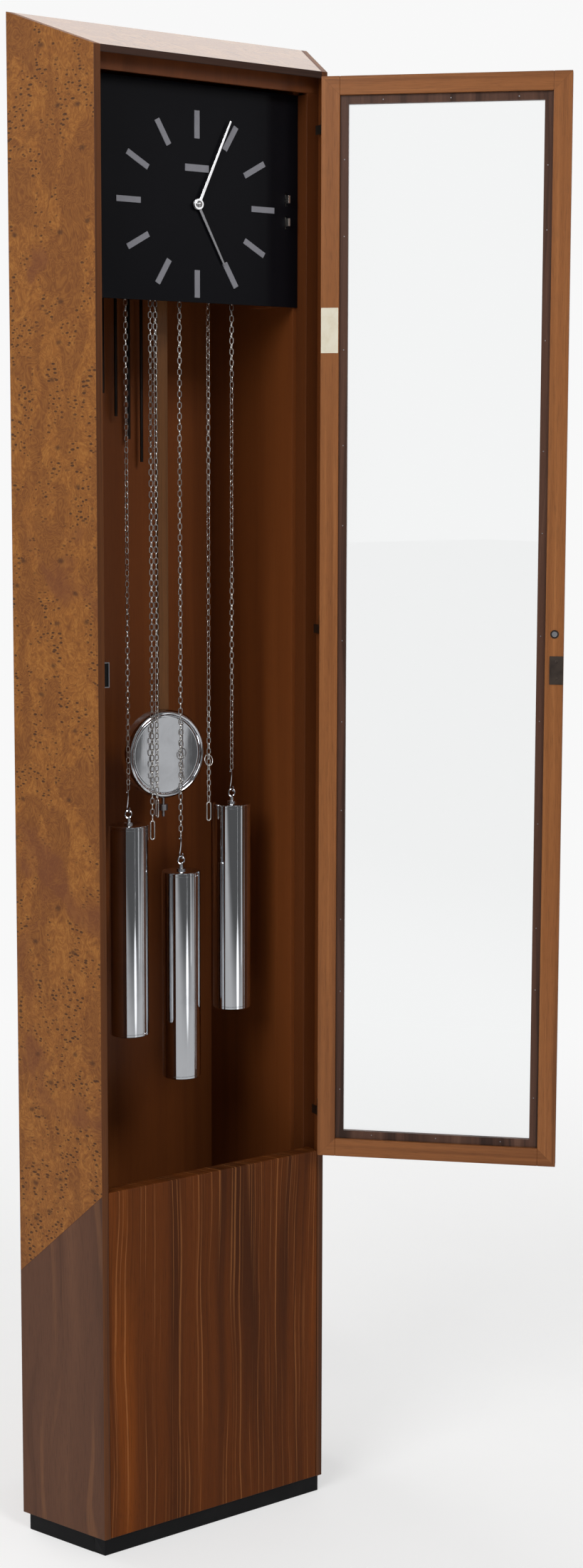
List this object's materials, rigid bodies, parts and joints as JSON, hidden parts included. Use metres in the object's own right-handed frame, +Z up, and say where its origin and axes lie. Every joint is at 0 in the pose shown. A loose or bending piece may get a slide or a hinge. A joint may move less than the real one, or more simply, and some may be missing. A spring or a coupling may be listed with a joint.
{
  "type": "longcase clock",
  "caption": "Tall floor clock with a flared veneered case, glazed full-height door, square dial with bar markers, chain-hung weights and a disc pendulum.",
  "frame": {"origin": "on the floor, midway across the case and midway between its front and its back", "axes": "+Z up, +Y towards the back of the case, +X to the right seen from the front"},
  "size_m": [0.6319, 0.5001, 1.983],
  "materials": {
    "burl_veneer": "satin lacquer over figured burl veneer",
    "rosewood_veneer": "satin lacquer over straight-grained dark veneer",
    "carcass_wood": "stained satin",
    "door_wood": "satin lacquer",
    "plinth_black": "satin black paint",
    "glass": "clear",
    "dial_black": "matt black",
    "satin_metal": "satin",
    "hand_chrome": "polished",
    "movement_brass": "brushed",
    "weight_chrome": "polished",
    "chain_nickel": "nickel plated",
    "lath_wood": "satin",
    "steel": "brushed",
    "chime_iron": "dark"
  },
  "bodies": {
    "case": {"back_panel": "carcass_wood", "bottom_board": "carcass_wood", "carcass_floor": "carcass_wood", "carcass_sides": "carcass_wood", "carcass_top": "carcass_wood", "case_hinge_leaves": "steel", "chime_block": "chime_iron", "chime_rods": "chime_iron", "dial_cheeks": "carcass_wood", "dial_markers": "satin_metal", "dial_panel": "dial_black", "door_catch": "steel", "door_stops": "carcass_wood", "flare_back_boards": "carcass_wood", "free_chain_centre": "chain_nickel", "free_chain_left": "chain_nickel", "free_chain_right": "chain_nickel", "left_side_panel": "burl_veneer", "lower_front_panel": "rosewood_veneer", "motion_stud": "movement_brass", "movement_pillars": "movement_brass", "movement_plates": "movement_brass", "plinth_frame": "plinth_black", "plinth_runner": "plinth_black", "right_side_panel": "burl_veneer", "seat_board": "carcass_wood", "seat_cleats": "carcass_wood", "sill_rail": "rosewood_veneer", "suspension_cock": "movement_brass", "top_panel": "burl_veneer", "weight_chain_centre": "chain_nickel", "weight_chain_left": "chain_nickel", "weight_chain_right": "chain_nickel"},
    "door": {"door_stiles": "door_wood", "door_rails": "door_wood", "door_glass": "glass", "glazing_beads": "door_wood", "catch_keeper": "steel", "door_knob": "hand_chrome", "door_hinge_leaves": "steel"},
    "minute_hand": {"minute_hand": "hand_chrome", "centre_arbor": "movement_brass"},
    "hour_hand": {"hour_hand": "hand_chrome", "hour_wheel": "movement_brass"},
    "minute_wheel": {"minute_wheel": "movement_brass"},
    "pendulum": {"pendulum_rod": "lath_wood", "pendulum_bob": "weight_chrome", "rating_nut": "weight_chrome", "suspension_spring": "steel"},
    "upper_chime_lever": {"upper_chime_lever": "satin_metal"},
    "lower_chime_lever": {"lower_chime_lever": "satin_metal"},
    "chain_wheel_left": {"chain_wheel_left": "movement_brass"},
    "weight_left": {"weight_left": "weight_chrome"},
    "end_link_left": {"end_link_left": "chain_nickel"},
    "chain_wheel_centre": {"chain_wheel_centre": "movement_brass"},
    "weight_centre": {"weight_centre": "weight_chrome"},
    "end_link_centre": {"end_link_centre": "chain_nickel"},
    "chain_wheel_right": {"chain_wheel_right": "movement_brass"},
    "weight_right": {"weight_right": "weight_chrome"},
    "end_link_right": {"end_link_right": "chain_nickel"}
  },
  "joints": [
    {"name": "door_swing", "type": "hinge", "parent": "case", "child": "door", "pos_m": [0.1615, -0.135, 1.2], "axis": [0, 0, 1], "range_deg": [-138, 37]},
    {"name": "minute_turn", "type": "hinge", "parent": "case", "child": "minute_hand", "pos_m": [0, -0.092, 1.7545], "axis": [0, 1, 0], "continuous": true},
    {"name": "hour_turn", "type": "hinge", "parent": "case", "child": "hour_hand", "pos_m": [0, -0.092, 1.7545], "axis": [0, 1, 0], "continuous": true},
    {"name": "minute_wheel_turn", "type": "hinge", "parent": "case", "child": "minute_wheel", "pos_m": [0.0192, -0.072, 1.7545], "axis": [0, 1, 0], "continuous": true},
    {"name": "pendulum_swing", "type": "hinge", "parent": "case", "child": "pendulum", "pos_m": [0, 0.005, 1.8], "axis": [0, 1, 0], "range_deg": [-3, 3]},
    {"name": "upper_lever_slide", "type": "slide", "parent": "case", "child": "upper_chime_lever", "axis": [0, 0, 1], "range_m": [-0.006, 0.006]},
    {"name": "lower_lever_slide", "type": "slide", "parent": "case", "child": "lower_chime_lever", "axis": [0, 0, 1], "range_m": [-0.006, 0.006]},
    {"name": "weight_left_slide", "type": "slide", "parent": "case", "child": "weight_left", "axis": [0, 0, 1], "range_m": [-0.4, 0.4], "deforming": ["weight_chain_left"]},
    {"name": "end_link_left_slide", "type": "slide", "parent": "case", "child": "end_link_left", "axis": [0, 0, 1], "range_m": [-0.41, 0.41], "deforming": ["free_chain_left"]},
    {"name": "chain_wheel_left_turn", "type": "hinge", "parent": "case", "child": "chain_wheel_left", "pos_m": [-0.0618, -0.042, 1.692], "axis": [0, 1, 0], "range_deg": [-1265, 1265]},
    {"name": "weight_centre_slide", "type": "slide", "parent": "case", "child": "weight_centre", "axis": [0, 0, 1], "range_m": [-0.4, 0.4], "deforming": ["weight_chain_centre"]},
    {"name": "end_link_centre_slide", "type": "slide", "parent": "case", "child": "end_link_centre", "axis": [0, 0, 1], "range_m": [-0.41, 0.41], "deforming": ["free_chain_centre"]},
    {"name": "chain_wheel_centre_turn", "type": "hinge", "parent": "case", "child": "chain_wheel_centre", "pos_m": [-0.0182, -0.042, 1.692], "axis": [0, 1, 0], "range_deg": [-1265, 1265]},
    {"name": "weight_right_slide", "type": "slide", "parent": "case", "child": "weight_right", "axis": [0, 0, 1], "range_m": [-0.4, 0.4], "deforming": ["weight_chain_right"]},
    {"name": "end_link_right_slide", "type": "slide", "parent": "case", "child": "end_link_right", "axis": [0, 0, 1], "range_m": [-0.41, 0.41], "deforming": ["free_chain_right"]},
    {"name": "chain_wheel_right_turn", "type": "hinge", "parent": "case", "child": "chain_wheel_right", "pos_m": [0.0618, -0.042, 1.692], "axis": [0, 1, 0], "range_deg": [-1265, 1265]}
  ],
  "couplings": [
    {"joint": "hour_turn", "follows": "minute_turn", "ratio": 0.083333},
    {"joint": "minute_wheel_turn", "follows": "minute_turn", "ratio": -0.33333},
    {"joint": "end_link_left_slide", "follows": "weight_left_slide", "ratio": -1},
    {"joint": "chain_wheel_left_turn", "follows": "weight_left_slide", "rad_per_m": 54.945},
    {"joint": "end_link_centre_slide", "follows": "weight_centre_slide", "ratio": -1},
    {"joint": "chain_wheel_centre_turn", "follows": "weight_centre_slide", "rad_per_m": -54.945},
    {"joint": "end_link_right_slide", "follows": "weight_right_slide", "ratio": -1},
    {"joint": "chain_wheel_right_turn", "follows": "weight_right_slide", "rad_per_m": -54.945}
  ]
}
